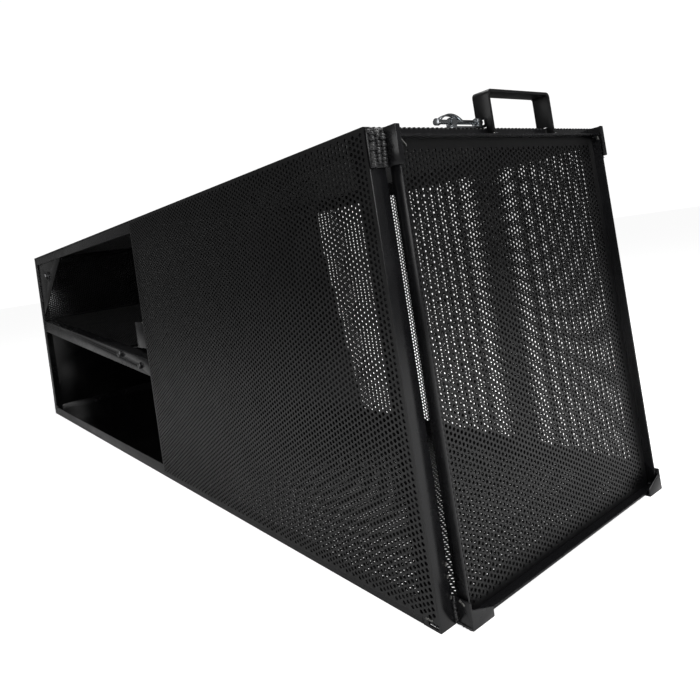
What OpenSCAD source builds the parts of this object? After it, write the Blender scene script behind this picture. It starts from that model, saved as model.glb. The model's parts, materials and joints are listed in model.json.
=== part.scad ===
// Live catch trap: a welded angle-iron cage clad in perforated sheet.
// +X is the lift-out door's end, -Y the open side of the entry bay, z = 0 the floor.

/* [Cage] */
// Length of the cage over its angle frame
cage_l = 1670; // [1300:10:2050]
// Width of the cage over its angle frame
cage_w = 505; // [420:5:620]
// Height of the cage over its angle frame
cage_h = 550; // [450:5:670]
// Leg of the cage's angle iron
leg = 25; // [20:1:32]
// Wall of the cage's angle iron
wall = 3; // [2:0.5:4]
// Length of the catch chamber, from the door end to the middle frame
chamber_l = 722; // [600:2:900]

/* [Sheets] */
// Thickness of the perforated and the plain sheet
sheet_t = 1.5; // [1:0.25:2]
// Height of bottom rail left showing under a side sheet
rail_lip = 10; // [4:1:14]
// Gap between a fitted sheet or plate and the angle iron round it
fit_gap = 0.3; // [0.2:0.1:1]

/* [Corner gussets] */
// Length of a gusset along the top rail
gusset_l = 340; // [240:10:380]
// Height of a gusset down the corner post
gusset_h = 205; // [150:5:210]
// Distance of the gusset bolt from the entry end
gusset_bolt_x = 150; // [110:5:190]
// Distance of the gusset bolt below the top of the cage
gusset_bolt_drop = 72; // [60:2:90]
// Diameter of the gusset bolt
gusset_bolt_d = 12; // [8:1:14]

/* [Entry ramp] */
// Height of the ramp rail's top at the entry end
ramp_z0 = 330; // [300:2:345]
// Height of the ramp rail's top at the middle frame
ramp_z1 = 250; // [200:2:280]
// Depth of the ramp rail's upright leg
ramp_rail_h = 36; // [30:1:44]
// Width of the ramp rail's flat flange
ramp_flange = 30; // [22:1:36]
// Gap between the ramp's end and the treadle
ramp_gap = 6; // [4:1:12]

/* [Treadle] */
// Distance of the treadle's pivot from the middle frame
treadle_reach = 177; // [160:2:220]
// Length of the treadle plate from its pivot
treadle_l = 150; // [130:2:155]
// Thickness of the treadle plate
treadle_t = 2; // [1.5:0.5:3]
// Diameter of the treadle's pivot rod
treadle_rod_d = 10; // [8:1:12]
// Outside diameter of the treadle's pivot tube
treadle_tube_d = 16; // [15:1:20]
// Height of the treadle's free end above its pivot end
treadle_rise = 12; // [6:1:16]
// Side of the square bar under the treadle
stop_bar = 16; // [14:1:20]
// Wire of the treadle springs
spring_wire = 2; // [1.5:0.5:3]
// Outside diameter of the treadle springs
spring_d = 18; // [14:1:24]
// Distance of each treadle spring from the middle of the cage
spring_y = 120; // [60:5:180]
// Turns in a treadle spring
spring_turns = 5; // [3:1:5]

/* [One-way gate] */
// Diameter of the gate's hinge rod
gate_rod_d = 12; // [10:1:14]
// Outside diameter of the gate's hinge tube
gate_tube_d = 18; // [17:1:22]
// Lean of the closed gate from upright, in degrees
gate_lean = 8.7; // [6:0.1:12]
// Thickness of the gate plate
gate_t = 2; // [1.5:0.5:3]
// Depth of the gate hinge rod below the top of the cage
gate_drop = 20; // [16:1:24]
// Gap between the gate's lower edge and the floor sheet
gate_floor_gap = 8; // [5:1:16]
// Gap between the gate and each side sheet
gate_side_gap = 6; // [5:0.5:12]
// Width of the stiffening bar along the gate's lower edge
gate_bar = 25; // [16:1:36]
// Height of the gate's stop above the floor sheet
stop_h = 24; // [16:1:32]

/* [Rear door] */
// Leg of the door's angle frame
door_leg = 16; // [14:1:22]
// Gap between the corner post's leg and the door frame
door_side_gap = 5; // [4:1:10]
// Distance of the door's top edge below the top of the cage
door_top_drop = 10; // [6:1:14]
// Running gap between the door's back and the cage
door_gap = 1; // [0.5:0.5:3]
// Running gap between the door and its keepers
keeper_gap = 1; // [0.5:0.5:3]
// Height of the top keepers
keeper_h = 45; // [30:1:60]
// Width of a bottom keeper's front lip
keeper_w = 38; // [30:1:60]
// Height of a bottom keeper's front lip
keeper_lip_h = 22; // [16:1:40]
// Height of a bottom keeper's side plate
keeper_side_h = 30; // [20:1:50]

/* [Handle] */
// Width of the handle over its legs
handle_w = 144; // [110:2:200]
// Distance of the handle's latch-side leg from the middle of the door
handle_y0 = -34; // [-60:2:-30]
// Height of the handle above the door's top edge
handle_h = 60; // [45:1:80]
// Width of the handle strap
strap_w = 24; // [22:1:30]
// Thickness of the handle strap
strap_t = 4; // [3:0.5:5]
// Inside radius of the strap's bends
strap_r = 3; // [2:1:12]

/* [Latch] */
// Diameter of the latch bolt
bolt_d = 6; // [5:0.5:7]
// Travel of the latch bolt
bolt_travel = 12; // [8:1:14]
// Length of the latch's base plate
latch_l = 60; // [56:1:80]
// Height of the bolt's axis above the base plate
bolt_rise = 6; // [5.5:0.5:8]
// Distance of the bolt's axis behind the cage's end face
bolt_inset = 4.5; // [4:0.5:6]

/* [Fits] */
// Radial running clearance of a rod in its tube or guide
run_clear = 0.05; // [0.02:0.01:0.1]
// Radial clearance of a plain bolt or rod in its hole
hole_clear = 0.3; // [0.1:0.1:0.6]

/* [Hidden] */
$fn = 48;
hex = 6;

door_overhang = door_gap + door_leg + keeper_gap + wall;
x_shift = (door_overhang - sheet_t) / 2;
x_door = cage_l / 2 - x_shift;
x_entry = -cage_l / 2 - x_shift;
x_mid = x_door - chamber_l;
y_side = cage_w / 2;
y_in = y_side - wall;
butt = leg;
floor_top = wall + sheet_t;
notch_l = 14;

ramp_slope = (ramp_z0 - ramp_z1) / (x_mid - x_entry);
function ramp_top(x) = ramp_z0 - ramp_slope * (x - x_entry);

gusset_x0 = x_entry + wall + fit_gap;
gusset_z1 = cage_h - wall - fit_gap;
gusset_foot = 12;
nut_af = 1.6 * gusset_bolt_d;
nut_h = 0.8 * gusset_bolt_d;
washer_d = 2.6 * gusset_bolt_d;
washer_t = 2.5;

treadle_x = x_mid - treadle_reach;
treadle_z = ramp_top(treadle_x) - wall - fit_gap - treadle_tube_d / 2;
treadle_y = y_side - ramp_flange - 4;
treadle_lift = atan(treadle_rise / treadle_l);
rod_head_d = 17;
rod_head_h = 6;

spring_reach = treadle_l - 28;
stop_bar_x = treadle_x + spring_reach;
stop_bar_z1 = treadle_z - 12;
bar_bolt_d = 8;
bar_bolt_depth = 20;
bar_head_h = 5;

lug_l = 52;
lug_h = 57;
lug_z0 = ramp_top(x_mid) + 24;

gate_x = x_mid + wall + gate_tube_d / 2 + 1.5;
gate_z = cage_h - gate_drop;
ear_t = 4;
ear_y = y_in - 16;
gate_half = y_in - gate_side_gap + wall;
gate_reach = (gate_z - floor_top - gate_floor_gap) / cos(gate_lean);
gate_neck = gate_tube_d / 2 + 14;
weld_bite = 0.3;
stop_t = 4;
stop_half = gate_half - 40;

door_x0 = x_door + door_gap;
door_x1 = door_x0 + door_leg;
door_half = y_side - leg - door_side_gap;
door_z0 = wall + fit_gap;
door_z1 = cage_h - door_top_drop;
lip_x0 = door_x1 + keeper_gap;
lip_x1 = lip_x0 + wall;
keeper_y0 = door_half + keeper_gap;
keeper_y1 = keeper_y0 + wall;
top_lip = 5;

strap_x1 = door_x1 - 6;
strap_x0 = strap_x1 - strap_w;
handle_y1 = handle_y0 + handle_w;
roof_z = cage_h + sheet_t;
strap_over_roof = roof_z + 1;

base_t = 2;
bolt_x = x_door - bolt_inset;
bolt_z = roof_z + base_t + bolt_rise;
tip_gap = 1;
bolt_y1 = handle_y0 - tip_gap;
latch_y1 = handle_y0 - 5;
latch_y0 = latch_y1 - latch_l;
guide_l = 8;
knuckle_d = bolt_d + 5;
base_w = 22;
bow_half = bolt_travel + 12;
bow_rise = 10;
bow_t = 2;
bow_w = 7;
eye_d = bolt_d + 3;
eye_l = 5;
bolt_y0 = latch_y0 - bow_half - 2;

// Angle-iron section with its corner at the origin and legs towards dx and dy.
module section(dx, dy, l = leg) {
    polygon([[0, 0], [dx * l, 0], [dx * l, dy * wall], [dx * wall, dy * wall],
        [dx * wall, dy * l], [0, dy * l]]);
}

// Extrudes a shape drawn in (y, z) from x0 to x1.
module slab_x(x0, x1) {
    translate([x0, 0, 0]) rotate([90, 0, 90]) linear_extrude(x1 - x0) children();
}

// Extrudes a shape drawn in (x, z) from y0 to y1.
module slab_y(y0, y1) {
    translate([0, y1, 0]) rotate([90, 0, 0]) linear_extrude(y1 - y0) children();
}

// Box between two corners.
module block(a, b) {
    translate(a) cube(b - a);
}

// Round bar along Y.
module bar_y(x, z, d, y0, y1, sides = 48) {
    translate([x, y1, z]) rotate([90, 0, 0]) cylinder(d = d, h = y1 - y0, $fn = sides);
}

module both_sides() {
    children();
    mirror([0, 1, 0]) children();
}

// Face of the cage's end frame on one side of the middle.
function end_x(sx) = sx > 0 ? x_door : x_entry;

// Corner post; the near one at the door is notched at its foot, under the side sheet.
module post(sx, sy) {
    color("#1b1b1d") difference() {
        translate([end_x(sx), sy * y_side, 0]) linear_extrude(cage_h) section(-sx, -sy);
        if (sx > 0 && sy < 0) block([x_door - wall - notch_l, -y_side - 1, wall],
            [x_door - wall, -y_in + 1, rail_lip]);
    }
}

module mid_post(sy) {
    color("#1b1b1d") translate([x_mid, sy * y_side, butt])
        linear_extrude(cage_h - 2 * butt) section(1, -sy);
}

module rail(sy, top) {
    color("#1b1b1d") slab_x(x_entry + butt, x_door - butt)
        translate([sy * y_side, top ? cage_h : 0]) section(-sy, top ? -1 : 1);
}

module cross(sx, top) {
    color("#1b1b1d") slab_y(-y_side + butt, y_side - butt)
        translate([end_x(sx), top ? cage_h : 0]) section(-sx, top ? -1 : 1);
}

module mid_cross_top() {
    color("#1b1b1d") slab_y(-y_side + butt, y_side - butt)
        translate([x_mid, cage_h]) section(1, -1);
}

module mid_floor_bar() {
    color("#1b1b1d") block([x_mid - leg / 2, -y_side + butt, 0], [x_mid + leg / 2, y_side - butt, wall]);
}

module side_sheet(sy, x0) {
    y0 = sy > 0 ? y_side : -y_side - sheet_t;
    color("#232326") block([x0, y0, rail_lip], [x_door, y0 + sheet_t, cage_h]);
}

module sheet_roof() {
    color("#232326") block([x_entry - sheet_t, -y_side - sheet_t, cage_h],
        [x_door, y_side + sheet_t, roof_z]);
}

module sheet_floor() {
    color("#232326") block([x_mid + fit_gap / 2, -y_in + fit_gap, wall],
        [x_door - wall - fit_gap, y_in - fit_gap, floor_top]);
}

module floor_plate_entry() {
    color("#1f1f22") block([x_entry + wall + fit_gap, -y_in + fit_gap, wall],
        [x_mid - fit_gap / 2, y_in - fit_gap, floor_top]);
}

module end_plate() {
    color("#1f1f22") block([x_entry - sheet_t, -y_side, 0], [x_entry, y_side, cage_h]);
}

// Perforated liner inside the end plate, above the ramp.
module end_liner() {
    x0 = x_entry + wall;
    color("#232326") block([x0, -y_in + wall + 2 * fit_gap, ramp_z0 + fit_gap],
        [x0 + sheet_t, y_in - wall - 2 * fit_gap, cage_h - wall - fit_gap]);
}

module gusset(sy) {
    y0 = sy > 0 ? y_in - wall : -y_in;
    bx = x_entry + gusset_bolt_x;
    bz = cage_h - gusset_bolt_drop;
    color("#1b1b1d") difference() {
        slab_y(y0, y0 + wall) polygon([[gusset_x0, gusset_z1], [gusset_x0 + gusset_l, gusset_z1],
            [gusset_x0 + gusset_l, gusset_z1 - gusset_foot],
            [gusset_x0 + gusset_foot, gusset_z1 - gusset_h], [gusset_x0, gusset_z1 - gusset_h]]);
        if (sy < 0) bar_y(bx, bz, gusset_bolt_d + 2 * hole_clear, y0 - 1, y0 + wall + 1);
    }
}

// Bolt through the near gusset, with its washer outside and its nut inside.
module gusset_bolt() {
    bx = x_entry + gusset_bolt_x;
    bz = cage_h - gusset_bolt_drop;
    color("#55565a") {
        bar_y(bx, bz, nut_af / cos(30), -y_in - washer_t - nut_h, -y_in - washer_t, hex);
        bar_y(bx, bz, gusset_bolt_d, -y_in - washer_t, -y_in + wall + nut_h + 6);
    }
}

module gusset_washer() {
    bx = x_entry + gusset_bolt_x;
    bz = cage_h - gusset_bolt_drop;
    color("#77787c") difference() {
        bar_y(bx, bz, washer_d, -y_in - washer_t, -y_in);
        bar_y(bx, bz, gusset_bolt_d + 2 * hole_clear, -y_in - washer_t - 1, -y_in + 1);
    }
}

module gusset_nut() {
    bx = x_entry + gusset_bolt_x;
    bz = cage_h - gusset_bolt_drop;
    color("#55565a") difference() {
        bar_y(bx, bz, nut_af / cos(30), -y_in + wall, -y_in + wall + nut_h, hex);
        bar_y(bx, bz, gusset_bolt_d + 2 * run_clear, -y_in, -y_in + wall + nut_h + 1);
    }
}

// Side view of a strip that follows the ramp, its top lowered by drop.
module ramp_strip(x0, x1, drop, depth) {
    polygon([[x0, ramp_top(x0) - drop], [x1, ramp_top(x1) - drop],
        [x1, ramp_top(x1) - drop - depth], [x0, ramp_top(x0) - drop - depth]]);
}

module ramp_rail(sy) {
    x0 = x_entry + butt;
    y_leg = sy > 0 ? y_in : -y_side;
    y_flange = sy > 0 ? y_side - ramp_flange : -y_side;
    color("#1b1b1d") difference() {
        union() {
            slab_y(y_leg, y_leg + wall) ramp_strip(x0, x_mid, 0, ramp_rail_h);
            slab_y(y_flange, y_flange + ramp_flange) ramp_strip(x0, x_mid, 0, wall);
        }
        bar_y(treadle_x, treadle_z, treadle_rod_d + 2 * run_clear, -y_side - 1, y_side + 1);
        if (sy < 0) bar_y(stop_bar_x, stop_bar_z1 - stop_bar / 2, bar_bolt_d + 2 * hole_clear,
            -y_side - 1, -y_in + 1);
    }
}

module ramp_panel() {
    y1 = y_side - ramp_flange;
    x0 = x_entry + wall + sheet_t + fit_gap;
    x1 = treadle_x - treadle_tube_d / 2 - ramp_gap;
    color("#232326") slab_y(-y1, y1) ramp_strip(x0, x1, 0, sheet_t);
}

module lug(sy) {
    y0 = sy > 0 ? y_in : -y_side;
    color("#1b1b1d") block([x_mid - lug_l, y0, lug_z0], [x_mid, y0 + wall, lug_z0 + lug_h]);
}

module treadle_rod() {
    color("#77787c") {
        bar_y(treadle_x, treadle_z, treadle_rod_d, -y_side, y_side);
        bar_y(treadle_x, treadle_z, rod_head_d, -y_side - rod_head_h, -y_side, hex);
    }
}

module treadle_tube() {
    color("#232326") difference() {
        bar_y(treadle_x, treadle_z, treadle_tube_d, -treadle_y, treadle_y);
        bar_y(treadle_x, treadle_z, treadle_rod_d + 2 * run_clear, -treadle_y - 1, treadle_y + 1);
    }
}

// The treadle leaves the top of its tube and rises to its free end.
module treadle_plate() {
    color("#1f1f22") translate([treadle_x, 0, treadle_z]) rotate([0, -treadle_lift, 0])
        translate([0, -treadle_y, treadle_tube_d / 2 - weld_bite])
            cube([treadle_l, 2 * treadle_y, treadle_t]);
}

spring_z0 = stop_bar_z1;
spring_z1 = treadle_z + (treadle_tube_d / 2 - weld_bite) / cos(treadle_lift)
    + (spring_reach - spring_d / 2) * tan(treadle_lift) - fit_gap;
spring_pitch = (spring_z1 - spring_z0 - spring_wire) / (spring_turns - 1);

// Each spring stands as a column of closed wire rings that touch a thin core sleeve.
module treadle_spring() {
    translate([stop_bar_x, spring_y, spring_z0]) {
        for (i = [0 : spring_turns - 1])
            translate([0, 0, spring_wire / 2 + i * spring_pitch]) rotate_extrude()
                translate([spring_d / 2 - spring_wire / 2, 0]) circle(d = spring_wire, $fn = 16);
        difference() {
            cylinder(d = spring_d - spring_wire, h = spring_z1 - spring_z0);
            translate([0, 0, -1]) cylinder(d = spring_d - 2 * spring_wire, h = spring_z1 - spring_z0 + 2);
        }
    }
}

module treadle_springs() {
    color("#8a8b8f") both_sides() treadle_spring();
}

module treadle_stop_bar() {
    bz = stop_bar_z1 - stop_bar / 2;
    color("#1b1b1d") difference() {
        block([stop_bar_x - stop_bar / 2, -y_in, stop_bar_z1 - stop_bar],
            [stop_bar_x + stop_bar / 2, y_in, stop_bar_z1]);
        bar_y(stop_bar_x, bz, bar_bolt_d + 2 * hole_clear, -y_in - 1, -y_in + bar_bolt_depth);
    }
}

module stop_bar_bolt() {
    bz = stop_bar_z1 - stop_bar / 2;
    color("#77787c") {
        bar_y(stop_bar_x, bz, 1.8 * bar_bolt_d, -y_side - bar_head_h, -y_side, hex);
        bar_y(stop_bar_x, bz, bar_bolt_d, -y_side, -y_in + bar_bolt_depth - 2);
    }
}

module gate_ears() {
    color("#1b1b1d") both_sides() difference() {
        block([x_mid + wall, ear_y - ear_t, gate_z - gate_tube_d / 2],
            [gate_x + gate_tube_d / 2, ear_y, cage_h - wall]);
        bar_y(gate_x, gate_z, gate_rod_d + 2 * run_clear, ear_y - ear_t - 1, ear_y + 1);
    }
}

module gate_rod() {
    color("#77787c") bar_y(gate_x, gate_z, gate_rod_d, -ear_y - 3, ear_y + 3);
}

module gate_tube() {
    y1 = ear_y - ear_t - 0.5;
    color("#232326") difference() {
        bar_y(gate_x, gate_z, gate_tube_d, -y1, y1);
        bar_y(gate_x, gate_z, gate_rod_d + 2 * run_clear, -y1 - 1, y1 + 1);
    }
}

module on_gate() {
    translate([gate_x, 0, gate_z]) rotate([0, -gate_lean, 0]) children();
}

module gate_plate() {
    y_neck = ear_y - ear_t - 2;
    r0 = gate_tube_d / 2 - weld_bite;
    color("#1f1f22") on_gate() {
        slab_x(-gate_t / 2, gate_t / 2) polygon([[-y_neck, -r0], [y_neck, -r0], [y_neck, -gate_neck],
            [gate_half, -gate_neck], [gate_half, -gate_reach], [-gate_half, -gate_reach],
            [-gate_half, -gate_neck], [-y_neck, -gate_neck]]);
    }
}

module gate_bar() {
    bar_t = 4;
    color("#1b1b1d") on_gate() block([gate_t / 2, -gate_half, -gate_reach],
        [gate_t / 2 + bar_t, gate_half, -gate_reach + gate_bar]);
}

// Flat bar on edge that the closed gate leans against.
module gate_stop() {
    z1 = floor_top + stop_h;
    face = gate_x + (gate_z - z1) * tan(gate_lean) - gate_t / 2 / cos(gate_lean) - fit_gap;
    color("#1b1b1d") block([face - stop_t, -stop_half, floor_top], [face, stop_half, z1]);
}

module door_stile(sy) {
    color("#1b1b1d") translate([door_x0, sy * door_half, door_z0])
        linear_extrude(door_z1 - door_z0) section(1, -sy, door_leg);
}

module door_rail(z, dz) {
    y1 = door_half - wall;
    color("#1b1b1d") {
        slab_y(-y1, y1) translate([door_x0 + wall, z])
            square_from(0, dz > 0 ? 0 : -wall, door_leg - wall, wall);
        slab_y(-door_half + door_leg, door_half - door_leg) translate([door_x0, z])
            square_from(0, dz > 0 ? 0 : -door_leg, wall, door_leg);
    }
}

module square_from(x, y, w, h) {
    translate([x, y]) square([w, h]);
}

// The door's perforated sheet lies in the tray, on the frame's inner faces.
module door_sheet() {
    inset = wall + fit_gap;
    color("#232326") block([door_x0 + wall, -door_half + inset, door_z0 + inset],
        [door_x0 + wall + sheet_t, door_half - inset, door_z1 - inset]);
}

// One quarter of a bend between a strap's leg and its grip.
module strap_bend() {
    intersection() {
        difference() {
            circle(r = strap_r + strap_t);
            circle(r = strap_r);
        }
        square(strap_r + strap_t);
    }
}

// Strap handle; the latch bolt shoots into a notch in its near leg.
module handle() {
    r_out = strap_r + strap_t;
    z1 = door_z1 + handle_h;
    color("#1b1b1d") difference() {
        slab_x(strap_x0, strap_x1) {
            translate([handle_y0, door_z1]) square([strap_t, handle_h - r_out]);
            translate([handle_y1 - strap_t, door_z1]) square([strap_t, handle_h - r_out]);
            translate([handle_y0 + r_out, z1 - strap_t]) square([handle_w - 2 * r_out, strap_t]);
            translate([handle_y1 - r_out, z1 - r_out]) strap_bend();
            translate([handle_y0 + r_out, z1 - r_out]) mirror([1, 0]) strap_bend();
        }
        block([strap_x0 - 1, handle_y0 - 1, door_z1 - 1], [door_x0, handle_y1 + 1, strap_over_roof]);
        block([strap_x0 - 1, handle_y0 - 1, bolt_z - bolt_d / 2 - hole_clear],
            [bolt_x + bolt_d / 2 + hole_clear, handle_y0 + strap_t + 1, bolt_z + bolt_d / 2 + hole_clear]);
    }
}

// Top keeper: a side plate on the post that guides the door, with a short lip in front.
module keeper_top(sy) {
    z0 = cage_h - keeper_h;
    color("#1b1b1d") translate([0, 0, z0]) linear_extrude(keeper_h) {
        polygon([[x_door, sy * y_side], [x_door, sy * keeper_y0], [lip_x1, sy * keeper_y0],
            [lip_x1, sy * keeper_y1], [x_door + wall, sy * keeper_y1], [x_door + wall, sy * y_side]]);
        polygon([[lip_x0, sy * keeper_y0], [lip_x0, sy * (keeper_y0 - top_lip)],
            [lip_x1, sy * (keeper_y0 - top_lip)], [lip_x1, sy * keeper_y0]]);
    }
}

// Bottom keeper: a bent plate under the door's corner with a three-cornered front lip.
module keeper_bottom(sy) {
    y_tip = keeper_y1 - keeper_w;
    color("#1b1b1d") {
        block([x_door, sy > 0 ? y_tip : -keeper_y1, 0], [lip_x1, sy > 0 ? keeper_y1 : -y_tip, wall]);
        block([x_door, sy > 0 ? keeper_y0 : -keeper_y1, wall],
            [lip_x1, sy > 0 ? keeper_y1 : -keeper_y0, keeper_side_h]);
        slab_x(lip_x0, lip_x1) polygon([[sy * keeper_y0, wall], [sy * y_tip, wall],
            [sy * y_tip, wall + 8], [sy * keeper_y0, keeper_lip_h]]);
    }
}

module latch_base() {
    color("#b9bbbd") difference() {
        block([x_door - base_w, latch_y0, roof_z], [x_door, latch_y1, roof_z + base_t]);
        latch_rivet_bores();
    }
}

rivet_d = 4;
rivet_x = x_door - base_w + 6;
module latch_rivet_bores() {
    for (y = [latch_y0 + 6, latch_y1 - 6])
        translate([rivet_x, y, roof_z - 1]) cylinder(d = rivet_d + 2 * hole_clear, h = base_t + 2);
}

module latch_rivets() {
    color("#c9cbcd") for (y = [latch_y0 + 6, latch_y1 - 6]) translate([rivet_x, y, roof_z]) {
        cylinder(d = rivet_d, h = base_t);
        translate([0, 0, base_t]) cylinder(d1 = 8, d2 = 5, h = 2);
    }
}

// Two saddle guides that hold the bolt.
module latch_guides() {
    z0 = roof_z + base_t;
    color("#c4c6c8") for (y = [latch_y0, latch_y1 - guide_l]) difference() {
        union() {
            block([bolt_x - knuckle_d / 2, y, z0], [x_door, y + guide_l, bolt_z]);
            bar_y(bolt_x, bolt_z, knuckle_d, y, y + guide_l);
        }
        bar_y(bolt_x, bolt_z, bolt_d + 2 * run_clear, y - 1, y + guide_l + 1);
        block([x_door, y - 1, z0 - 1], [x_door + knuckle_d, y + guide_l + 1, bolt_z + knuckle_d]);
    }
}

// Zinc-plated bolt with an eye at its back end and a bowed grip that clears the first guide.
module latch_bolt() {
    bow_r = (bow_half * bow_half + bow_rise * bow_rise) / (2 * bow_rise);
    color("#cfd1d3") {
        bar_y(bolt_x, bolt_z, bolt_d, bolt_y0, bolt_y1);
        bar_y(bolt_x, bolt_z, eye_d, bolt_y0, bolt_y0 + eye_l);
        slab_x(bolt_x - bow_w / 2, bolt_x + bow_w / 2) intersection() {
            translate([latch_y0, bolt_z + bow_rise - bow_r]) difference() {
                circle(r = bow_r, $fn = 96);
                circle(r = bow_r - bow_t, $fn = 96);
            }
            translate([latch_y0 - bow_half, bolt_z]) square([2 * bow_half, bow_rise + 1]);
        }
    }
}

post(1, -1);  // post_near_door
post(1, 1);  // post_far_door
post(-1, -1);  // post_near_entry
post(-1, 1);  // post_far_entry
mid_post(-1);  // mid_post_near
mid_post(1);  // mid_post_far
rail(-1, true);  // rail_top_near
rail(1, true);  // rail_top_far
rail(-1, false);  // rail_bottom_near
rail(1, false);  // rail_bottom_far
cross(1, true);  // cross_top_door
cross(1, false);  // cross_bottom_door
cross(-1, true);  // cross_top_entry
cross(-1, false);  // cross_bottom_entry
mid_cross_top();
mid_floor_bar();
side_sheet(-1, x_mid);  // sheet_near
side_sheet(1, x_entry);  // sheet_far
sheet_roof();
sheet_floor();
floor_plate_entry();
end_plate();
end_liner();
gusset(-1);  // gusset_near
gusset(1);  // gusset_far
gusset_bolt();
gusset_washer();
gusset_nut();
ramp_rail(-1);  // ramp_rail_near
ramp_rail(1);  // ramp_rail_far
ramp_panel();
lug(-1);  // lug_near
lug(1);  // lug_far
treadle_rod();
treadle_tube();
treadle_plate();
treadle_springs();
treadle_stop_bar();
stop_bar_bolt();
gate_ears();
gate_rod();
gate_tube();
gate_plate();
gate_bar();
gate_stop();
door_stile(-1);  // door_stile_near
door_stile(1);  // door_stile_far
door_rail(door_z1, -1);  // door_rail_top
door_rail(door_z0, 1);  // door_rail_bottom
door_sheet();
handle();
keeper_top(-1);  // keeper_top_near
keeper_top(1);  // keeper_top_far
keeper_bottom(-1);  // keeper_bottom_near
keeper_bottom(1);  // keeper_bottom_far
latch_base();
latch_guides();
latch_bolt();
latch_rivets();
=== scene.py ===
import json
import logging
import math
from dataclasses import dataclass, field
from enum import Enum

import bpy
import numpy as np
from mathutils import Matrix, Vector

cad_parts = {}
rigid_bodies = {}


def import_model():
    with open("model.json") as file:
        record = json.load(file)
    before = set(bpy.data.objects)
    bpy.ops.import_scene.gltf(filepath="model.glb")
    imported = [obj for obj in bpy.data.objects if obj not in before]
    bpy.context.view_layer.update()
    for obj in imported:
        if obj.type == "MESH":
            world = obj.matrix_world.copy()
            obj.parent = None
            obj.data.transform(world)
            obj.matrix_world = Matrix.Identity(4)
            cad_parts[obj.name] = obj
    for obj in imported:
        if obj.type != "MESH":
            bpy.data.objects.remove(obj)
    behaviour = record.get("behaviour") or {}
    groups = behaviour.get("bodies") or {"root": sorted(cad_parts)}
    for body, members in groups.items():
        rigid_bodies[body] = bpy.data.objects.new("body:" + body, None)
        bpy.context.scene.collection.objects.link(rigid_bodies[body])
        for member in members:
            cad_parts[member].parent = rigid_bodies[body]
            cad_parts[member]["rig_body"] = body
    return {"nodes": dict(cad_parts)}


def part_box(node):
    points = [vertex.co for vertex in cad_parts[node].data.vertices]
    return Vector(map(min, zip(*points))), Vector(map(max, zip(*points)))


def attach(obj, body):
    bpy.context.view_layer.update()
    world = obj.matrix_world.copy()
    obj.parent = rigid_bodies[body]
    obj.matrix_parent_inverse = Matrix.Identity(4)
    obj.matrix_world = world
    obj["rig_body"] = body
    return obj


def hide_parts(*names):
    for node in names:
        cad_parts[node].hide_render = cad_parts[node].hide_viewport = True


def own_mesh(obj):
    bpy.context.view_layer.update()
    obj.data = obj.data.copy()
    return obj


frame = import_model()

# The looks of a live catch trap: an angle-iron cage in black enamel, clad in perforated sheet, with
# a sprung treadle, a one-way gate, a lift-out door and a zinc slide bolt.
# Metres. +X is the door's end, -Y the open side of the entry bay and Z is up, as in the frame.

log = logging.getLogger("trap")
MM = 0.001
TINY_AREA = 1e-10
# Half of a hole's width across its flats, as a share of the pitch
HOLE_SHARE = 0.31
# How finish patterns are laid: broad mottle, chips and the turn that counts as an edge
MOTTLE_M = 0.06
CHIP_M = 0.011
EDGE_TURN_MM = 1.6
# Cleaning of a copied part: merge distance, then the angles that count as flat, as an edge and as smooth
MERGE_MM = 0.01
FLAT_DEG = 1.0
SHARP_DEG = 32
SMOOTH_DEG = 40
# Widths of weld beads
TACK_MM = 3.4
DAB_MM = 3.2
SMALL_MM = 4.0
SEAM_MM = 4.5
ROOT_MM = 5.0
LUMP_MM = 6.0


class Slot(Enum):
    """The record's material slots."""

    ANGLE = "angle_steel"
    HANDLE = "handle_steel"
    PERFORATED = "perforated_sheet"
    PLAIN = "plain_sheet"
    ZINC = "zinc_plate"
    BRIGHT = "bright_steel"
    SPRING = "spring_steel"


def linear(hex_colour: str) -> tuple[float, float, float, float]:
    """Turns an sRGB hex colour to linear.

    Args:
        hex_colour: six hex digits after a hash.

    Returns:
        Red, green, blue and an alpha of 1.
    """
    parts = [int(hex_colour[i : i + 2], 16) / 255 for i in (1, 3, 5)]
    return (*[c / 12.92 if c <= 0.04045 else ((c + 0.055) / 1.055) ** 2.4 for c in parts], 1.0)


def add_node(tree: bpy.types.NodeTree, kind: str, links: dict | None = None, **settings) -> bpy.types.Node:
    """Adds a shader node with its settings and its inputs.

    Args:
        tree: the node tree.
        kind: the node's type name.
        links: input name or number to a value or an output socket.
        settings: attributes of the node.

    Returns:
        The new node.
    """
    node = tree.nodes.new(kind)
    for name, value in settings.items():
        setattr(node, name, value)
    for key, value in (links or {}).items():
        if isinstance(value, bpy.types.NodeSocket):
            tree.links.new(value, node.inputs[key])
        else:
            node.inputs[key].default_value = value
    return node


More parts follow.
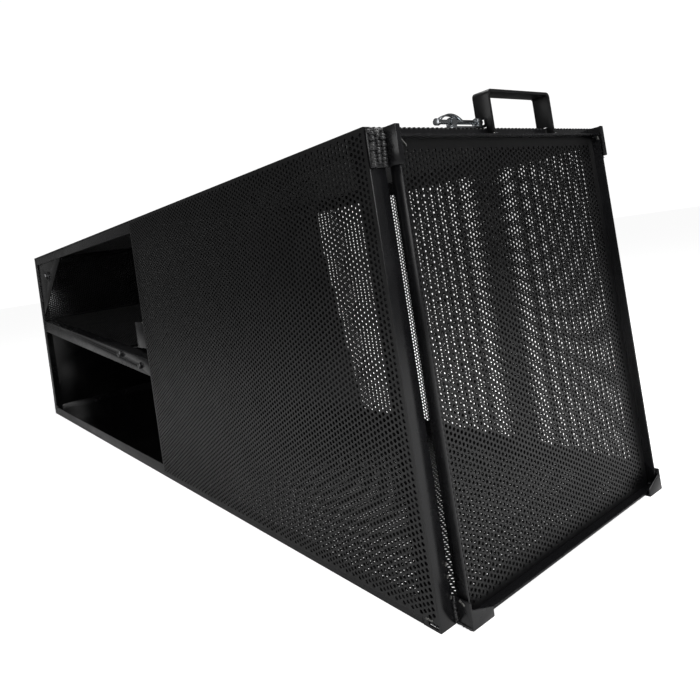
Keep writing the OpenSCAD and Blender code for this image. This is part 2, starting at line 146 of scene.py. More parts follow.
@dataclass(frozen=True)
class SteelFinish:
    """A finish on steel: a base that varies in tone and gloss, with worn edges and fine relief."""

    name: str
    base: str
    shade: str
    worn: str
    roughness: float
    spread: float
    metallic: float = 0.0
    grain_mm: float = 1.2
    relief: float = 0.08
    relief_mm: float = 0.1
    wear: float = 0.35
    stretch: tuple[float, float, float] = (1.0, 1.0, 1.0)

    def build(self) -> bpy.types.Material:
        """Returns the material, made once."""
        made = bpy.data.materials.get(self.name)
        if made:
            return made
        mat = bpy.data.materials.new(self.name)
        mat.use_nodes = True
        mat.diffuse_color = linear(self.base)
        tree = mat.node_tree
        tree.nodes.clear()
        where = add_node(tree, "ShaderNodeTexCoord")
        spot = add_node(tree, "ShaderNodeMapping", {0: where.outputs["Object"], "Scale": self.stretch})
        # Broad mottle, as a sprayed or dipped coat pools on a long bar
        mottle = add_node(tree, "ShaderNodeTexNoise", {"Vector": spot.outputs[0], "Scale": 1 / MOTTLE_M,
            "Detail": 4.0, "Roughness": 0.6})
        grain = add_node(tree, "ShaderNodeTexNoise", {"Vector": spot.outputs[0],
            "Scale": 1 / (self.grain_mm * MM), "Detail": 3.0, "Roughness": 0.55})
        tone = add_node(tree, "ShaderNodeMix", {0: mottle.outputs[0], 6: linear(self.base),
            7: linear(self.shade)}, data_type="RGBA")
        # Wear lies where the surface turns sharply and the coat is thin
        turned = add_node(tree, "ShaderNodeBevel", {"Radius": EDGE_TURN_MM * MM}, samples=4)
        flat = add_node(tree, "ShaderNodeNewGeometry")
        same = add_node(tree, "ShaderNodeVectorMath", {0: turned.outputs[0], 1: flat.outputs["Normal"]},
            operation="DOT_PRODUCT")
        edge = add_node(tree, "ShaderNodeMapRange", {0: same.outputs["Value"], 1: 0.995, 2: 0.86, 3: 0.0,
            4: 1.0})
        chips = add_node(tree, "ShaderNodeTexNoise", {"Vector": where.outputs["Object"],
            "Scale": 1 / CHIP_M, "Detail": 5.0, "Roughness": 0.7})
        patch = add_node(tree, "ShaderNodeMapRange", {0: chips.outputs[0], 1: 0.52, 2: 0.68, 3: 0.0,
            4: self.wear})
        mask = add_node(tree, "ShaderNodeMath", {0: edge.outputs[0], 1: patch.outputs[0]},
            operation="MULTIPLY")
        colour = add_node(tree, "ShaderNodeMix", {0: mask.outputs[0], 6: tone.outputs[2],
            7: linear(self.worn)}, data_type="RGBA")
        gloss = add_node(tree, "ShaderNodeMapRange", {0: mottle.outputs[0], 1: 0.3, 2: 0.7,
            3: self.roughness - self.spread, 4: self.roughness + self.spread})
        rub = add_node(tree, "ShaderNodeMath", {0: mask.outputs[0], 1: 0.3, 2: gloss.outputs[0]},
            operation="MULTIPLY_ADD")
        bump = add_node(tree, "ShaderNodeBump", {"Strength": self.relief, "Distance": self.relief_mm * MM,
            "Height": grain.outputs[0]})
        shader = add_node(tree, "ShaderNodeBsdfPrincipled", {"Base Color": colour.outputs[2],
            "Roughness": rub.outputs[0], "Metallic": self.metallic, "Normal": bump.outputs[0]})
        out = add_node(tree, "ShaderNodeOutputMaterial")
        tree.links.new(shader.outputs[0], out.inputs[0])
        return mat


# Alkyd enamel sprayed on hot-rolled angle iron: deep black, half gloss, with slight orange peel
ANGLE_ENAMEL = SteelFinish("black_enamel_sprayed_on_angle_iron", "#0e0e0f", "#18181a", "#5a5a5b",
    roughness=0.24, spread=0.06, grain_mm=2.2, relief=0.12, relief_mm=0.12, wear=0.5)
# The same enamel on flat bar bent for the handle, rubbed by the hand to a softer gloss
STRAP_ENAMEL = SteelFinish("black_enamel_rubbed_on_bent_strap", "#0b0b0c", "#131314", "#3a3a3b",
    roughness=0.36, spread=0.07, grain_mm=2.0, relief=0.1, wear=0.4)
# Enamel drawn thin over punched sheet: satin, with a duller face than the bars
SHEET_ENAMEL = SteelFinish("black_enamel_on_punched_sheet", "#080809", "#0e0e0f", "#2c2c2d",
    roughness=0.38, spread=0.05, grain_mm=3.0, relief=0.06, wear=0.0)
# Enamel on smooth cold-rolled sheet: the glossiest of the black faces
PLATE_ENAMEL = SteelFinish("gloss_black_enamel_on_rolled_sheet", "#0a0a0b", "#101011", "#2e2e30",
    roughness=0.2, spread=0.05, grain_mm=4.0, relief=0.06, wear=0.3)
# Weld beads under the enamel: lumpy, with brighter crests where the coat is thin
WELD_ENAMEL = SteelFinish("enamelled_weld_bead", "#161617", "#222224", "#77787a",
    roughness=0.26, spread=0.08, grain_mm=1.0, relief=0.25, relief_mm=0.2, wear=0.5)
# Heavy run-over bead in thin glassy enamel; the pale colour on its ripple crests is painted glint, on top of
# the real gloss
GLINT_PAINTED_WELD = SteelFinish("heavy_weld_with_painted_glints", "#1c1c1d", "#3a3a3b", "#a6a6a4",
    roughness=0.16, spread=0.06, grain_mm=0.9, relief=0.4, relief_mm=0.3, wear=0.9)
# Painted glints: pale, glassy metallic steel on the small beads where the welds glint
PAINTED_GLINT_STEEL = SteelFinish("pale_steel_painted_glint_beads", "#8c8c8a", "#5c5b58", "#c9c9c6",
    roughness=0.3, spread=0.08, metallic=1.0, grain_mm=0.8, relief=0.2, relief_mm=0.15, wear=0.6)
# Bright zinc electroplate on the slide bolt: bluish, soft mirror with fine drag lines
ZINC = SteelFinish("bright_zinc_electroplate", "#c7cacd", "#a2a6aa", "#e6e8ea",
    roughness=0.24, spread=0.06, metallic=1.0, grain_mm=0.7, relief=0.12, wear=0.4, stretch=(1, 0.12, 1))
# Turned mild steel rods, bolts and nuts, oiled and slightly grey
BRIGHT = SteelFinish("turned_mild_steel", "#6d6d6e", "#4a4a4b", "#a5a5a5",
    roughness=0.34, spread=0.08, metallic=1.0, grain_mm=0.8, relief=0.14, wear=0.5, stretch=(1, 0.2, 1))
# Cold-drawn spring wire with a thin dark oil film
SPRING = SteelFinish("cold_drawn_spring_wire", "#76777a", "#4f5053", "#a9aaac",
    roughness=0.28, spread=0.06, metallic=1.0, grain_mm=0.5, relief=0.1, wear=0.3)


def deselect() -> None:
    """Deselects every object."""
    if bpy.context.object and bpy.context.object.mode != "OBJECT":
        bpy.ops.object.mode_set(mode="OBJECT")
    bpy.ops.object.select_all(action="DESELECT")


def make_active(obj: bpy.types.Object) -> None:
    """Selects one object alone and makes it active."""
    deselect()
    obj.select_set(True)
    bpy.context.view_layer.objects.active = obj


def dress(obj: bpy.types.Object, name: str, body: str, finish: SteelFinish,
        nodes: tuple[str, ...] = ()) -> bpy.types.Object:
    """Names a finished piece, gives it its finish and rides it on its body.

    Args:
        obj: the piece, with its place in its mesh.
        name: the piece's name.
        body: the CAD body that it moves with.
        finish: its finish.
        nodes: the CAD nodes that it stands for.

    Returns:
        The piece.
    """
    obj.name = name
    obj.data.name = name
    obj.data.materials.clear()
    obj.data.materials.append(finish.build())
    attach(obj, body)
    if nodes:
        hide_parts(*nodes)
    return obj


def body_of(node: str) -> str:
    """The CAD body that a node belongs to."""
    return frame["nodes"][node]["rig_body"]


def finished_copy(node: str, edge_mm: float, segments: int = 2) -> bpy.types.Object:
    """Copies a CAD node, merges its loose triangles and rounds its edges.

    Args:
        node: the CAD node.
        edge_mm: width of the rounded edge.
        segments: facets across the rounded edge.

    Returns:
        The copy, with its modifiers applied.
    """
    src = frame["nodes"][node]
    obj = bpy.data.objects.new(node + "_finished", src.data.copy())
    bpy.context.scene.collection.objects.link(obj)
    make_active(obj)
    bpy.ops.object.mode_set(mode="EDIT")
    bpy.ops.mesh.select_all(action="SELECT")
    bpy.ops.mesh.remove_doubles(threshold=MERGE_MM * MM)
    bpy.ops.mesh.dissolve_limited(angle_limit=math.radians(FLAT_DEG))
    bpy.ops.mesh.customdata_custom_splitnormals_clear()
    bpy.ops.object.mode_set(mode="OBJECT")
    bevel = obj.modifiers.new("rounded_edges", "BEVEL")
    bevel.width = edge_mm * MM
    bevel.segments = segments
    bevel.limit_method = "ANGLE"
    bevel.angle_limit = math.radians(SHARP_DEG)
    bevel.use_clamp_overlap = True
    bpy.ops.object.modifier_apply(modifier=bevel.name)
    bpy.ops.object.shade_smooth_by_angle(angle=math.radians(SMOOTH_DEG))
    return obj


def cad_limits() -> tuple[list[float], list[float]]:
    """Lowest and highest corner of all the CAD nodes."""
    boxes = [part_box(node) for node in frame["nodes"]]
    low = [min(box[0][axis] for box in boxes) for axis in range(3)]
    high = [max(box[1][axis] for box in boxes) for axis in range(3)]
    return low, high


def joined(objs: list[bpy.types.Object]) -> bpy.types.Object:
    """Joins meshes into the first of them and returns it."""
    deselect()
    for obj in objs:
        obj.select_set(True)
    bpy.context.view_layer.objects.active = objs[0]
    if len(objs) > 1:
        bpy.ops.object.join()
    return objs[0]


@dataclass
class WeldBead:
    """A row of overlapping ripples laid along a seam."""

    start: tuple[float, float, float]
    end: tuple[float, float, float]
    size_mm: float = 5.0
    flat: float = 0.62
    seed: int = 0
    spacing: float = 0.42
    length: float = 0.6
    swell: float = 0.16
    stray: float = 0.07

    def build(self) -> bpy.types.Object:
        """Models one ripple and repeats it along the seam.

        Returns:
            The bead as one mesh at the origin.
        """
        a, b = Vector(self.start), Vector(self.end)
        run = b - a
        size = self.size_mm * MM
        count = max(1, round(run.length / (self.spacing * size)))
        rng = np.random.default_rng(self.seed)
        deselect()
        bpy.ops.mesh.primitive_uv_sphere_add(segments=8, ring_count=5, radius=size / 2)
        ripple = bpy.context.object
        bpy.ops.object.mode_set(mode="EDIT")
        bpy.ops.transform.resize(value=(self.length, 1.0, self.flat))
        bpy.ops.object.mode_set(mode="OBJECT")
        points = np.array([v.co for v in ripple.data.vertices])
        faces = [tuple(p.vertices) for p in ripple.data.polygons]
        turn = np.array(run.to_track_quat("X", "Z").to_matrix()) if run.length else np.eye(3)
        verts, polys = [], []
        for i in range(count + 1):
            swell = 1 + rng.uniform(-self.swell, self.swell)
            place = np.array(a + run * (i / count)) + rng.uniform(-self.stray, self.stray, 3) * size
            polys += [tuple(k + len(verts) for k in f) for f in faces]
            verts += [tuple(p) for p in (points * swell) @ turn.T + place]
        old = ripple.data
        mesh = bpy.data.meshes.new("weld")
        mesh.from_pydata(verts, [], polys)
        ripple.data = mesh
        bpy.data.meshes.remove(old)
        make_active(ripple)
        bpy.ops.object.shade_smooth()
        return ripple


@dataclass
class Welds:
    """All the beads of one seam group, on one body."""

    name: str
    body: str
    finish: SteelFinish = WELD_ENAMEL
    beads: list[WeldBead] = field(default_factory=list)

    def lay(self, start: Vector, end: Vector, size_mm: float = 5.0, flat: float = 0.62) -> None:
        """Adds a bead from start to end."""
        self.beads.append(WeldBead(tuple(start), tuple(end), size_mm, flat, len(self.beads) + 1))

    def build(self) -> bpy.types.Object:
        """Builds the beads as one piece."""
        obj = joined([bead.build() for bead in self.beads])
        # A bead is ground flush where it would stand past the trap's outer faces
        low, high = cad_limits()
        for vertex in obj.data.vertices:
            for axis in range(3):
                vertex.co[axis] = min(max(vertex.co[axis], low[axis]), high[axis])
        return dress(obj, self.name, self.body, self.finish)


@dataclass
class PunchedSheet:
    """A sheet with round holes in staggered rows, cut into panels along its length.

    The rows run across the sheet and a panel ends between two rows, so the pattern carries on
    from panel to panel. Each hole is drawn with six sides.
    """

    node: str
    along: int
    across: int
    panels: int
    pitch_mm: float
    margins_mm: tuple[float, float] = (6.0, 6.0)
    ends_mm: tuple[float, float] = (6.0, 6.0)
    falls_mm: float = 0.0
    cut_through: bool = False

    def build(self) -> list[bpy.types.Object]:
        """Builds the panels in the CAD sheet's box.

        Returns:
            The panels; the first stands for the CAD node.
        """
        low, high = (np.array(c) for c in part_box(self.node))
        pitch = self.pitch_mm * MM
        step = pitch * math.sqrt(3) / 2
        thin = 3 - self.along - self.across
        length = high[self.along] - low[self.along]
        room = length - sum(self.ends_mm) * MM
        rows = math.floor((room - 2 * HOLE_SHARE * pitch) / step) + 1
        first = low[self.along] + self.ends_mm[0] * MM + (room - (rows - 1) * step) / 2
        if self.cut_through:
            # The shear went through the last row, which leaves a scalloped edge
            first = high[self.along] - (rows - 1) * step
        fall = 0.0
        if self.falls_mm:
            # A sloping sheet is punched flat at its top and then let down along its length
            fall = (high[2] - low[2] - self.falls_mm * MM) / length
            low[2] = high[2] - self.falls_mm * MM
        made = []
        for k in range(self.panels):
            r0, r1 = k * rows // self.panels, (k + 1) * rows // self.panels
            lo, hi = low.copy(), high.copy()
            if k:
                lo[self.along] = first + (r0 - 0.5) * step
            if k < self.panels - 1:
                hi[self.along] = first + (r1 - 0.5) * step
            obj = self.panel(self.node, lo, hi, thin, pitch, step, first, (r0, r1))
            for vertex in obj.data.vertices:
                vertex.co.z -= fall * (vertex.co.x - low[0])
            dress(obj, f"{self.node}_punched_{k}", body_of(self.node), SHEET_ENAMEL,
                (self.node,) if k == 0 else ())
            made.append(obj)
        return made

    def panel(self, name: str, lo: np.ndarray, hi: np.ndarray, thin: int, pitch: float, step: float,
            first: float, rows: tuple[int, int]) -> bpy.types.Object:
        """Builds one panel as a closed mesh.

        Args:
            name: the mesh's name.
            lo: lowest corner.
            hi: highest corner.
            thin: the axis of the sheet's thickness.
            pitch: distance between holes in a row.
            step: distance between rows.
            first: place of row 0.
            rows: first row and the row after the last.

        Returns:
            The panel.
        """
        near, far = (margin * MM for margin in self.margins_mm)
        span = hi[self.across] - lo[self.across] - near - far
        columns = math.floor((span - 2 * HOLE_SHARE * pitch - pitch / 2) / pitch) + 1
        start = lo[self.across] + near + (span - (columns - 0.5) * pitch) / 2
        spare = 4 + math.ceil(max(*self.ends_mm, *self.margins_mm) * MM / pitch)
        j = np.arange(rows[0] - spare, rows[1] + spare)
        i = np.arange(-spare, columns + spare)
        ii, jj = np.meshgrid(i, j, indexing="ij")
        u = start + (ii + 0.5 * (jj % 2)) * pitch
        v = first + jj * step
        open_hole = (jj >= rows[0]) & (jj < rows[1]) & (ii >= 0) & (ii < columns)
        radius = HOLE_SHARE * pitch
        corner = radius / math.cos(math.pi / 6)
        angles = np.arange(6) * math.pi / 3 + math.pi / 6
        pu = np.clip(u[..., None] + corner * np.cos(angles), lo[self.across], hi[self.across])
        pv = np.clip(v[..., None] + corner * np.sin(angles), lo[self.along], hi[self.along])
        index = np.arange(pu.size).reshape(pu.shape)
        faces = self.faces(index, jj, open_hole)
        flat = np.stack([pu.ravel(), pv.ravel()], 1)
        _, keep, back = np.unique(np.round(flat / 1e-6).astype(np.int64), axis=0, return_index=True,
            return_inverse=True)
        flat = flat[keep]
        back = back.ravel()
        held = np.isin(flat[:, 0], (lo[self.across], hi[self.across]))
        held |= np.isin(flat[:, 1], (lo[self.along], hi[self.along]))
        top = []
        for group in faces:
            for ring, at_edge in zip(back[group].tolist(), held[back[group]].any(axis=1).tolist()):
                if at_edge:
                    ring = [n for n, m in zip(ring, ring[1:] + ring[:1]) if n != m]
                    if len(set(ring)) < len(ring) or len(ring) < 3 or area(flat[ring]) < TINY_AREA:
                        continue
                top.append(tuple(ring))
        return solid_from(name, flat, top, (self.across, self.along, thin), lo[thin], hi[thin])

    def faces(self, index: np.ndarray, jj: np.ndarray, open_hole: np.ndarray) -> list[np.ndarray]:
        """Lists the flat faces between the holes, anticlockwise.

        Args:
            index: corner numbers by column, row and corner.
            jj: each site's row.
            open_hole: true where a site is punched.

        Returns:
            One array of corner numbers for each kind of face.
        """
        plugs = index[~open_hole]
        here = index[1:-1, :-1]
        right = index[2:, :-1]
        odd = (jj[1:-1, :-1] % 2).astype(bool)[..., None]
        up_right = np.where(odd, index[2:, 1:], index[1:-1, 1:])
        up_left = np.where(odd, index[1:-1, 1:], index[:-2, 1:])
        kinds = [
            [here[..., 5], right[..., 3], right[..., 2], here[..., 0]],
            [here[..., 0], up_right[..., 4], up_right[..., 3], here[..., 1]],
            [here[..., 1], up_left[..., 5], up_left[..., 4], here[..., 2]],
            [here[..., 0], right[..., 2], up_right[..., 4]],
            [here[..., 1], up_right[..., 3], up_left[..., 5]],
        ]
        return [plugs] + [np.stack(kind, -1).reshape(-1, len(kind)) for kind in kinds]


def area(ring: np.ndarray) -> float:
    """Area of a flat ring of points, positive when anticlockwise."""
    x, y = ring[:, 0], ring[:, 1]
    return 0.5 * float(np.dot(x, np.roll(y, -1)) - np.dot(y, np.roll(x, -1)))


def solid_from(name: str, flat: np.ndarray, top: list[tuple[int, ...]], axes: tuple[int, int, int],
        low: float, high: float) -> bpy.types.Object:
    """Thickens flat faces to a closed solid.

    Args:
        name: the mesh's name.
        flat: points in the plane.
        top: anticlockwise faces.
        axes: the axes of the plane's first and second direction and of the thickness.
        low: lower side of the thickness.
        high: upper side of the thickness.

    Returns:
        The solid.
    """
    count = len(flat)
    points = np.zeros((2 * count, 3))
    for k, value in ((0, low), (1, high)):
        rows = slice(k * count, (k + 1) * count)
        points[rows, axes[0]] = flat[:, 0]
        points[rows, axes[1]] = flat[:, 1]
        points[rows, axes[2]] = value
    edges = {}
    for ring in top:
        for a, b in zip(ring, ring[1:] + ring[:1]):
            if (b, a) in edges:
                del edges[(b, a)]
            else:
                edges[(a, b)] = True
    upper = [tuple(n + count for n in ring) for ring in top]
    lower = [ring[::-1] for ring in top]
    walls = [(a, b, b + count, a + count) for a, b in edges]
    polys = upper + lower + walls
    # The plane's two directions and the thickness are right-handed for one order of axes only
    if (axes[1] - axes[0]) % 3 != 1:
        polys = [ring[::-1] for ring in polys]
    mesh = bpy.data.meshes.new(name)
    mesh.from_pydata(points.tolist(), [], polys)
    obj = bpy.data.objects.new(name, mesh)
    bpy.context.scene.collection.objects.link(obj)
    make_active(obj)
    bpy.ops.object.mode_set(mode="EDIT")
    bpy.ops.mesh.select_all(action="SELECT")
    bpy.ops.mesh.delete_loose()
    bpy.ops.object.mode_set(mode="OBJECT")
    return obj


@dataclass
class FrameBars:
    """The welded angle-iron bars and flat parts of the cage."""

    edge_mm: float = 1.0

    def build(self) -> None:
        """Finishes every bar, plate and fastener that keeps its CAD shape."""
        plain = {"floor_plate_entry", "end_plate", "gate_plate", "treadle_plate"}
        bright = {"gusset_bolt", "gusset_washer", "gusset_nut", "stop_bar_bolt", "treadle_rod", "gate_rod"}
        elsewhere = {"sheet_near", "sheet_far", "sheet_roof", "sheet_floor", "end_liner", "ramp_panel",
            "door_sheet", "treadle_springs"}
        for node in sorted(frame["nodes"]):
            if node in elsewhere:
                continue
            if node in plain:
                finish, slot, edge = PLATE_ENAMEL, Slot.PLAIN, 0.35
            elif node in bright:
                finish, slot, edge = BRIGHT, Slot.BRIGHT, 0.5
            elif node.startswith("latch"):
                finish, slot, edge = ZINC, Slot.ZINC, 0.35
            elif node == "handle":
                finish, slot, edge = STRAP_ENAMEL, Slot.HANDLE, 0.8
            else:
                finish, slot, edge = ANGLE_ENAMEL, Slot.ANGLE, self.edge_mm
            obj = finished_copy(node, edge)
            dress(obj, node + "_finished", body_of(node), finish, (node,))
            log.info("finished %s", obj.name)


@dataclass
class Cladding:
    """The punched sheets; the far one starts with a plain stretch at the entry end."""

    fine_mm: float = 7.0
    coarse_mm: float = 8.2
    plain_far_mm: float = 180.0

    def build(self) -> None:
        """Builds every punched sheet."""
        x, y, z = 0, 1, 2
        fine, coarse = self.fine_mm, self.coarse_mm
        sheets = [
            PunchedSheet("sheet_near", x, z, 2, fine, (3.0, 4.0), (5.0, 3.0)),
            PunchedSheet("sheet_far", x, z, 4, fine, (3.0, 4.0), (self.plain_far_mm, 3.0)),
            PunchedSheet("sheet_floor", x, y, 2, fine, (6.0, 6.0), (6.0, 4.0)),
            PunchedSheet("sheet_roof", x, y, 4, coarse, (4.0, 4.0), (6.0, 0.0), cut_through=True),
            PunchedSheet("door_sheet", y, z, 1, fine, (6.0, 12.0), (1.5, 11.0)),
            PunchedSheet("end_liner", y, z, 1, coarse, (5.0, 5.0), (5.0, 5.0)),
            PunchedSheet("ramp_panel", x, y, 2, coarse, (6.0, 6.0), (6.0, 6.0), falls_mm=1.5),
        ]
        for sheet in sheets:
            for obj in sheet.build():
                log.info("punched %s: %d faces", obj.name, len(obj.data.polygons))


@dataclass
class TreadleSprings:
    """The two coil springs under the treadle."""

    wire_mm: float = 2.0
    turns: int = 5

    def coil(self, low: Vector, high: Vector) -> bpy.types.Object:
        """Winds one spring that fills the box from low to high.

        Args:
            low: lowest corner of the spring's box.
            high: highest corner.

        Returns:
            The spring.
        """
        wire = self.wire_mm * MM
        radius = (high.x - low.x - wire) / 2
        deselect()
        bpy.ops.mesh.primitive_circle_add(vertices=8, radius=wire / 2)
        spring = bpy.context.object
        bpy.ops.object.mode_set(mode="EDIT")
        bpy.ops.transform.rotate(value=math.pi / 2, orient_axis="X", center_override=(0, 0, 0))
        bpy.ops.transform.translate(value=(radius, 0, wire / 2))
        bpy.ops.object.mode_set(mode="OBJECT")
        screw = spring.modifiers.new("wound", "SCREW")
        screw.axis = "Z"
        screw.iterations = self.turns
        screw.screw_offset = (high.z - low.z - wire) / self.turns
        screw.steps = screw.render_steps = 24
        screw.use_smooth_shade = True
        bpy.ops.object.modifier_apply(modifier=screw.name)
        bpy.ops.object.mode_set(mode="EDIT")
        bpy.ops.mesh.select_all(action="SELECT")
        bpy.ops.mesh.fill_holes(sides=0)
        bpy.ops.mesh.select_all(action="SELECT")
        bpy.ops.mesh.normals_make_consistent(inside=False)
        bpy.ops.transform.translate(value=((low.x + high.x) / 2, (low.y + high.y) / 2, low.z))
        bpy.ops.object.mode_set(mode="OBJECT")
        return spring

    def build(self) -> None:
        """Winds both springs."""
        low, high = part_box("treadle_springs")
        side = high.x - low.x
        pair = joined([self.coil(low, Vector((high.x, low.y + side, high.z))),
            self.coil(Vector((low.x, high.y - side, low.z)), high)])
        dress(pair, "treadle_spring_coils", "cage", SPRING, ("treadle_springs",))
        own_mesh(pair)


@dataclass
class WeldWork:
    """Every weld bead on the trap, in groups that ride on one body."""

    leg_mm: float = 25.0

    def corners(self) -> None:
        """Welds the rails and cross bars to the four corner posts."""
        welds = Welds("corner_weld_beads", "cage")
        leg = self.leg_mm * MM
        for x_end in ("door", "entry"):
            for side in ("near", "far"):
                low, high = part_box(f"post_{side}_{x_end}")
                out = -1 if side == "near" else 1
                y = low.y if side == "near" else high.y
                sx = 1 if x_end == "door" else -1
                x = high.x if x_end == "door" else low.x
                for z, dz in ((low.z, 1), (high.z, -1)):
                    if x_end == "door" or side == "near":
                        # Across the upright leg where the cross bar meets the post
                        welds.lay((x + sx * 0.4 * MM, y - out * leg, z + dz * 3 * MM),
                            (x + sx * 0.4 * MM, y - out * leg, z + dz * (leg - 1 * MM)), SEAM_MM)
                    inner = y - out * 3.4 * MM
                    welds.lay((x - sx * leg, inner, z + dz * 5 * MM),
                        (x - sx * leg, inner, z + dz * (leg - 1 * MM)), SEAM_MM)
        welds.build()

    def keepers(self) -> None:
        """Welds the four keepers; the near top one is run over heavily."""
        # The keepers' beads take the heavy-weld finish, whose pale crests are painted glints
        heavy = Welds("keeper_weld_beads", "cage", GLINT_PAINTED_WELD)
        low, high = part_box("keeper_top_near")
        x = low.x + 3 * MM
        for row in range(3):
            y = low.y + (4.5 + 8.0 * row) * MM
            heavy.lay((x, y, low.z + (2 + 4 * (row % 2)) * MM),
                (x + 0.6 * MM, y + 2 * MM, high.z - (3 + 3 * (row % 3)) * MM), 9.0, 0.9)
        heavy.lay((x, low.y + 2 * MM, high.z - 4 * MM), (x, low.y + 22 * MM, high.z - 3 * MM), 7.0)
        low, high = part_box("keeper_top_far")
        heavy.lay((low.x + 3 * MM, high.y - 2 * MM, low.z),
            (low.x + 3 * MM, high.y - 2 * MM, high.z), SEAM_MM)
        heavy.lay((low.x + 3 * MM, high.y - 22 * MM, low.z),
            (low.x + 3 * MM, high.y - 4 * MM, low.z), SEAM_MM)
        for node, out in (("keeper_bottom_near", -1), ("keeper_bottom_far", 1)):
            low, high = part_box(node)
            y = low.y if out < 0 else high.y
            heavy.lay((low.x + 1 * MM, y, low.z + 5 * MM), (low.x + 1 * MM, y, high.z), SEAM_MM)
            heavy.lay((low.x + 1 * MM, y, low.z + 2 * MM), (high.x - 3 * MM, y, low.z + 2 * MM), SMALL_MM)
        heavy.build()

    def door(self) -> None:
        """Welds the door frame's corners and the handle's feet."""
        # Small pale steel dabs at the door's corners and the handle's feet are painted glints
        bright = Welds("door_painted_glint_beads", "rear_door", PAINTED_GLINT_STEEL)
        low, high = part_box("door_stile_near")
        bright.lay((high.x - 0.8 * MM, low.y + 6.5 * MM, high.z - 5 * MM),
            (high.x - 0.8 * MM, low.y + 14 * MM, high.z - 14 * MM), DAB_MM)
        strap_low, strap_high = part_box("handle")
        for y in (strap_low.y - 1 * MM, strap_high.y + 1 * MM):
            bright.lay((high.x - 7 * MM, y, high.z + 1 * MM), (high.x - 5 * MM, y, high.z + 1 * MM), SMALL_MM)
        far_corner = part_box("door_stile_far")[1]
        bright.lay((high.x - 2 * MM, far_corner.y - 6 * MM, high.z - 5 * MM),
            (high.x - 2 * MM, far_corner.y - 5 * MM, high.z - 9 * MM), DAB_MM)
        bright.build()
        welds = Welds("door_weld_beads", "rear_door")
        far_low, far_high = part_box("door_stile_far")
        for y, out in ((low.y, 1), (far_high.y, -1)):
            for z, dz in ((high.z, -1), (low.z, 1)):
                welds.lay((high.x - 3 * MM, y + out * 4 * MM, z + dz * 4 * MM),
                    (low.x + 6 * MM, y + out * 4 * MM, z + dz * 4 * MM), 3.4)
        foot_low, foot_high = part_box("handle")
        rail_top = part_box("door_rail_top")[1].z
        strap = 4 * MM
        for y in (foot_low.y, foot_low.y + strap, foot_high.y - strap, foot_high.y):
            welds.lay((low.x + 3 * MM, y, rail_top), (high.x - 6 * MM, y, rail_top), SMALL_MM)
        for y in (foot_low.y + 1 * MM, foot_high.y - 3 * MM):
            welds.lay((high.x - 5 * MM, y, rail_top + 0.5 * MM), (high.x - 5 * MM, y + 2 * MM, rail_top), 4.6)
        welds.build()

    def spots(self) -> None:
        """Lays small pale steel beads on the cage as painted glints, and dark beads in the notch at the
        post's foot as painted shade.
        """
        # Small pale steel dabs on the post, keeper, entry post and lug are painted glints
        tacks = Welds("painted_glint_tack_beads", "cage", PAINTED_GLINT_STEEL)
        low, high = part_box("post_near_door")
        tacks.lay((high.x - 17 * MM, low.y - 1.2 * MM, low.z + 11 * MM),
            (high.x - 9 * MM, low.y - 1.2 * MM, low.z + 11.5 * MM), SMALL_MM)
        for z in (30, 52, 66):
            tacks.lay((high.x + 0.5 * MM, low.y + 21 * MM, z * MM),
                (high.x + 0.5 * MM, low.y + 22 * MM, (z + 2) * MM), TACK_MM)
        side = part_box("keeper_bottom_near")
        tacks.lay((side[0].x + 9 * MM, side[0].y - 0.4 * MM, side[1].z - 1 * MM),
            (side[0].x + 14 * MM, side[0].y - 0.4 * MM, side[1].z - 4 * MM), 3.6)
        low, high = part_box("post_near_entry")
        tacks.lay((high.x - 3 * MM, low.y + 1 * MM, low.z + 27 * MM),
            (high.x + 7 * MM, low.y + 1 * MM, low.z + 26 * MM), 6.5)
        lug_low, lug_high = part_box("lug_near")
        tacks.lay((lug_high.x - 6 * MM, lug_low.y, lug_high.z),
            (lug_high.x - 1 * MM, lug_low.y, lug_high.z), ROOT_MM)
        tacks.build()
        # Two dark enamelled beads fill the open notch at the post's foot: painted shade, so the notch reads
        # dark instead of showing the floor through it
        notch_shade = Welds("notch_painted_shade_bead", "cage")
        low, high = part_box("post_near_door")
        for z in (4.5, 8.5):
            notch_shade.lay((high.x - 18 * MM, low.y + 5.5 * MM, z * MM),
                (high.x - 4 * MM, low.y + 5.5 * MM, z * MM), 7.0, 0.9)
        notch_shade.build()

    def entry(self) -> None:
        """Welds the gussets, the ramp rails, the lugs and the middle frame."""
        welds = Welds("entry_weld_beads", "cage")
        for side, out in (("near", -1), ("far", 1)):
            low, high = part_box(f"gusset_{side}")
            y = (high.y if out < 0 else low.y) - out * 0.3 * MM
            for k in range(4):
                x = low.x + (30 + 90 * k) * MM
                welds.lay((x, y, high.z - 1 * MM), (x + 22 * MM, y, high.z - 1 * MM), SEAM_MM)
            for k in range(3):
                z = low.z + (14 + 70 * k) * MM
                welds.lay((low.x + 1 * MM, y, z), (low.x + 1 * MM, y, z + 20 * MM), SEAM_MM)
            rail_low, rail_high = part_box(f"ramp_rail_{side}")
            y = rail_low.y if out < 0 else rail_high.y
            welds.lay((rail_low.x + 1 * MM, y - out * 1 * MM, rail_high.z - 34 * MM),
                (rail_low.x + 1 * MM, y - out * 1 * MM, rail_high.z - 3 * MM), ROOT_MM)
            lug_low, lug_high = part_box(f"lug_{side}")
            y = lug_low.y if out < 0 else lug_high.y
            welds.lay((lug_high.x - 2 * MM, y + out * 0.2 * MM, lug_low.z + 2 * MM),
                (lug_high.x - 2 * MM, y + out * 0.2 * MM, lug_high.z - 2 * MM), SEAM_MM)
            mid_low, mid_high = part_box(f"mid_post_{side}")
            y = mid_low.y if out < 0 else mid_high.y
            for z in (mid_low.z, mid_high.z):
                welds.lay((mid_low.x + 2 * MM, y - out * 3.4 * MM, z),
                    (mid_high.x - 2 * MM, y - out * 3.4 * MM, z), SEAM_MM)
        post_low, post_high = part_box("post_near_entry")
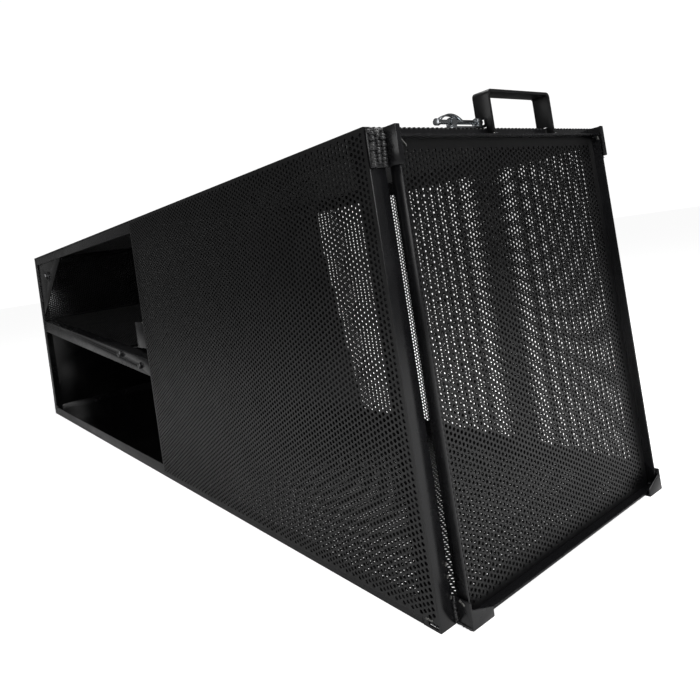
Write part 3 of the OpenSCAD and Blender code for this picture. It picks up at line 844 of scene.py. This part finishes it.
        rail_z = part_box("ramp_rail_near")[1].z
        for dz in (-6, 4, 9):
            place = (post_high.x - 1 * MM, post_low.y - 0.3 * MM, rail_z + dz * MM)
            welds.lay(place, place, LUMP_MM)
        welds.build()

    def build(self) -> None:
        """Lays every group of beads."""
        self.corners()
        self.keepers()
        self.spots()
        self.door()
        self.entry()


@dataclass(frozen=True)
class SoftBox:
    """A square lamp: where it hangs, its side, its power in watts and the point that it faces."""

    name: str
    place: tuple[float, float, float]
    side: float
    power: float
    aim: tuple[float, float, float] = (0.3, 0.0, 0.25)

    def hang(self) -> None:
        """Adds the lamp."""
        data = bpy.data.lights.new(self.name, "AREA")
        data.shape, data.size, data.energy = "SQUARE", self.side, self.power
        lamp = bpy.data.objects.new(self.name, data)
        bpy.context.scene.collection.objects.link(lamp)
        lamp.location = self.place
        lamp.rotation_mode = "QUATERNION"
        lamp.rotation_quaternion = (Vector(self.aim) - Vector(self.place)).to_track_quat("-Z", "Y")


SOFT_BOXES = (
    SoftBox("top_box", (0.6, 0.3, 2.6), 1.8, 45.0),
    SoftBox("door_box", (3.0, -0.4, 1.3), 0.9, 24.0),
    SoftBox("flange_box", (2.0, -0.4, 2.2), 0.8, 14.0, (0.85, 0.0, 0.0)),
    SoftBox("side_box", (0.2, -2.8, 1.0), 1.0, 8.0),
)


@dataclass
class StudioView:
    """The floor, the soft light and the camera."""

    place: tuple[float, float, float] = (1.2682, -0.7067, 0.4224)
    ahead: tuple[float, float, float] = (-0.84048, 0.54135, 0.02327)
    right: tuple[float, float, float] = (0.53272, 0.83339, -0.14720)
    lens_mm: float = 29.31
    shift: tuple[float, float] = (0.1429, -0.1429)
    ambient: float = 0.12
    floor_lift: float = 0.86
    floor_side: float = 60.0
    backdrop: float = 1.05

    def camera(self) -> bpy.types.Object:
        """Adds the camera and makes it the scene's."""
        data = bpy.data.cameras.new("camera")
        data.lens = self.lens_mm
        data.sensor_width = 36.0
        data.shift_x, data.shift_y = self.shift
        data.clip_start, data.clip_end = 0.02, 60.0
        cam = bpy.data.objects.new("camera", data)
        bpy.context.scene.collection.objects.link(cam)
        ahead = Vector(self.ahead).normalized()
        right = Vector(self.right)
        right = (right - ahead * right.dot(ahead)).normalized()
        up = right.cross(ahead)
        turn = Matrix((right, up, -ahead)).transposed().to_4x4()
        cam.matrix_world = Matrix.Translation(self.place) @ turn
        bpy.context.scene.camera = cam
        return cam

    def surround(self) -> None:
        """Makes the surround: white to look at, and a dim soft light on the trap."""
        world = bpy.data.worlds.new("white_surround")
        world.use_nodes = True
        bpy.context.scene.world = world
        tree = world.node_tree
        path = add_node(tree, "ShaderNodeLightPath")
        strength = add_node(tree, "ShaderNodeMix", {0: path.outputs["Is Camera Ray"], 2: self.ambient,
            3: self.backdrop})
        back = tree.nodes["Background"]
        back.inputs["Color"].default_value = (1, 1, 1, 1)
        tree.links.new(strength.outputs[0], back.inputs["Strength"])

    def room(self) -> None:
        """Adds the pale floor, the white surround and the soft boxes."""
        self.surround()
        deselect()
        bpy.ops.mesh.primitive_plane_add(size=self.floor_side, location=(0, 0, 0))
        floor = bpy.context.object
        floor.name = "studio_floor"
        mat = bpy.data.materials.new("pale_matt_floor")
        mat.use_nodes = True
        tree = mat.node_tree
        shader = tree.nodes["Principled BSDF"]
        shader.inputs["Base Color"].default_value = linear("#e8e8e8")
        shader.inputs["Roughness"].default_value = 1.0
        shader.inputs["Specular IOR Level"].default_value = 0.0
        shader.inputs["Emission Color"].default_value = (1, 1, 1, 1)
        path = add_node(tree, "ShaderNodeLightPath")
        lift = add_node(tree, "ShaderNodeMath", {0: path.outputs["Is Camera Ray"], 1: self.floor_lift},
            operation="MULTIPLY")
        tree.links.new(lift.outputs[0], shader.inputs["Emission Strength"])
        floor.data.materials.append(mat)
        for lamp in SOFT_BOXES:
            lamp.hang()


def main() -> None:
    """Builds the trap's looks, the floor, the light and the camera."""
    logging.basicConfig(level=logging.INFO, format="%(message)s")
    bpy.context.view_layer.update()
    studio = StudioView()
    studio.camera()
    studio.room()
    FrameBars().build()
    Cladding().build()
    TreadleSprings().build()
    WeldWork().build()
    bpy.context.scene.view_settings.view_transform = "Standard"


if __name__ == "__main__":
    main()
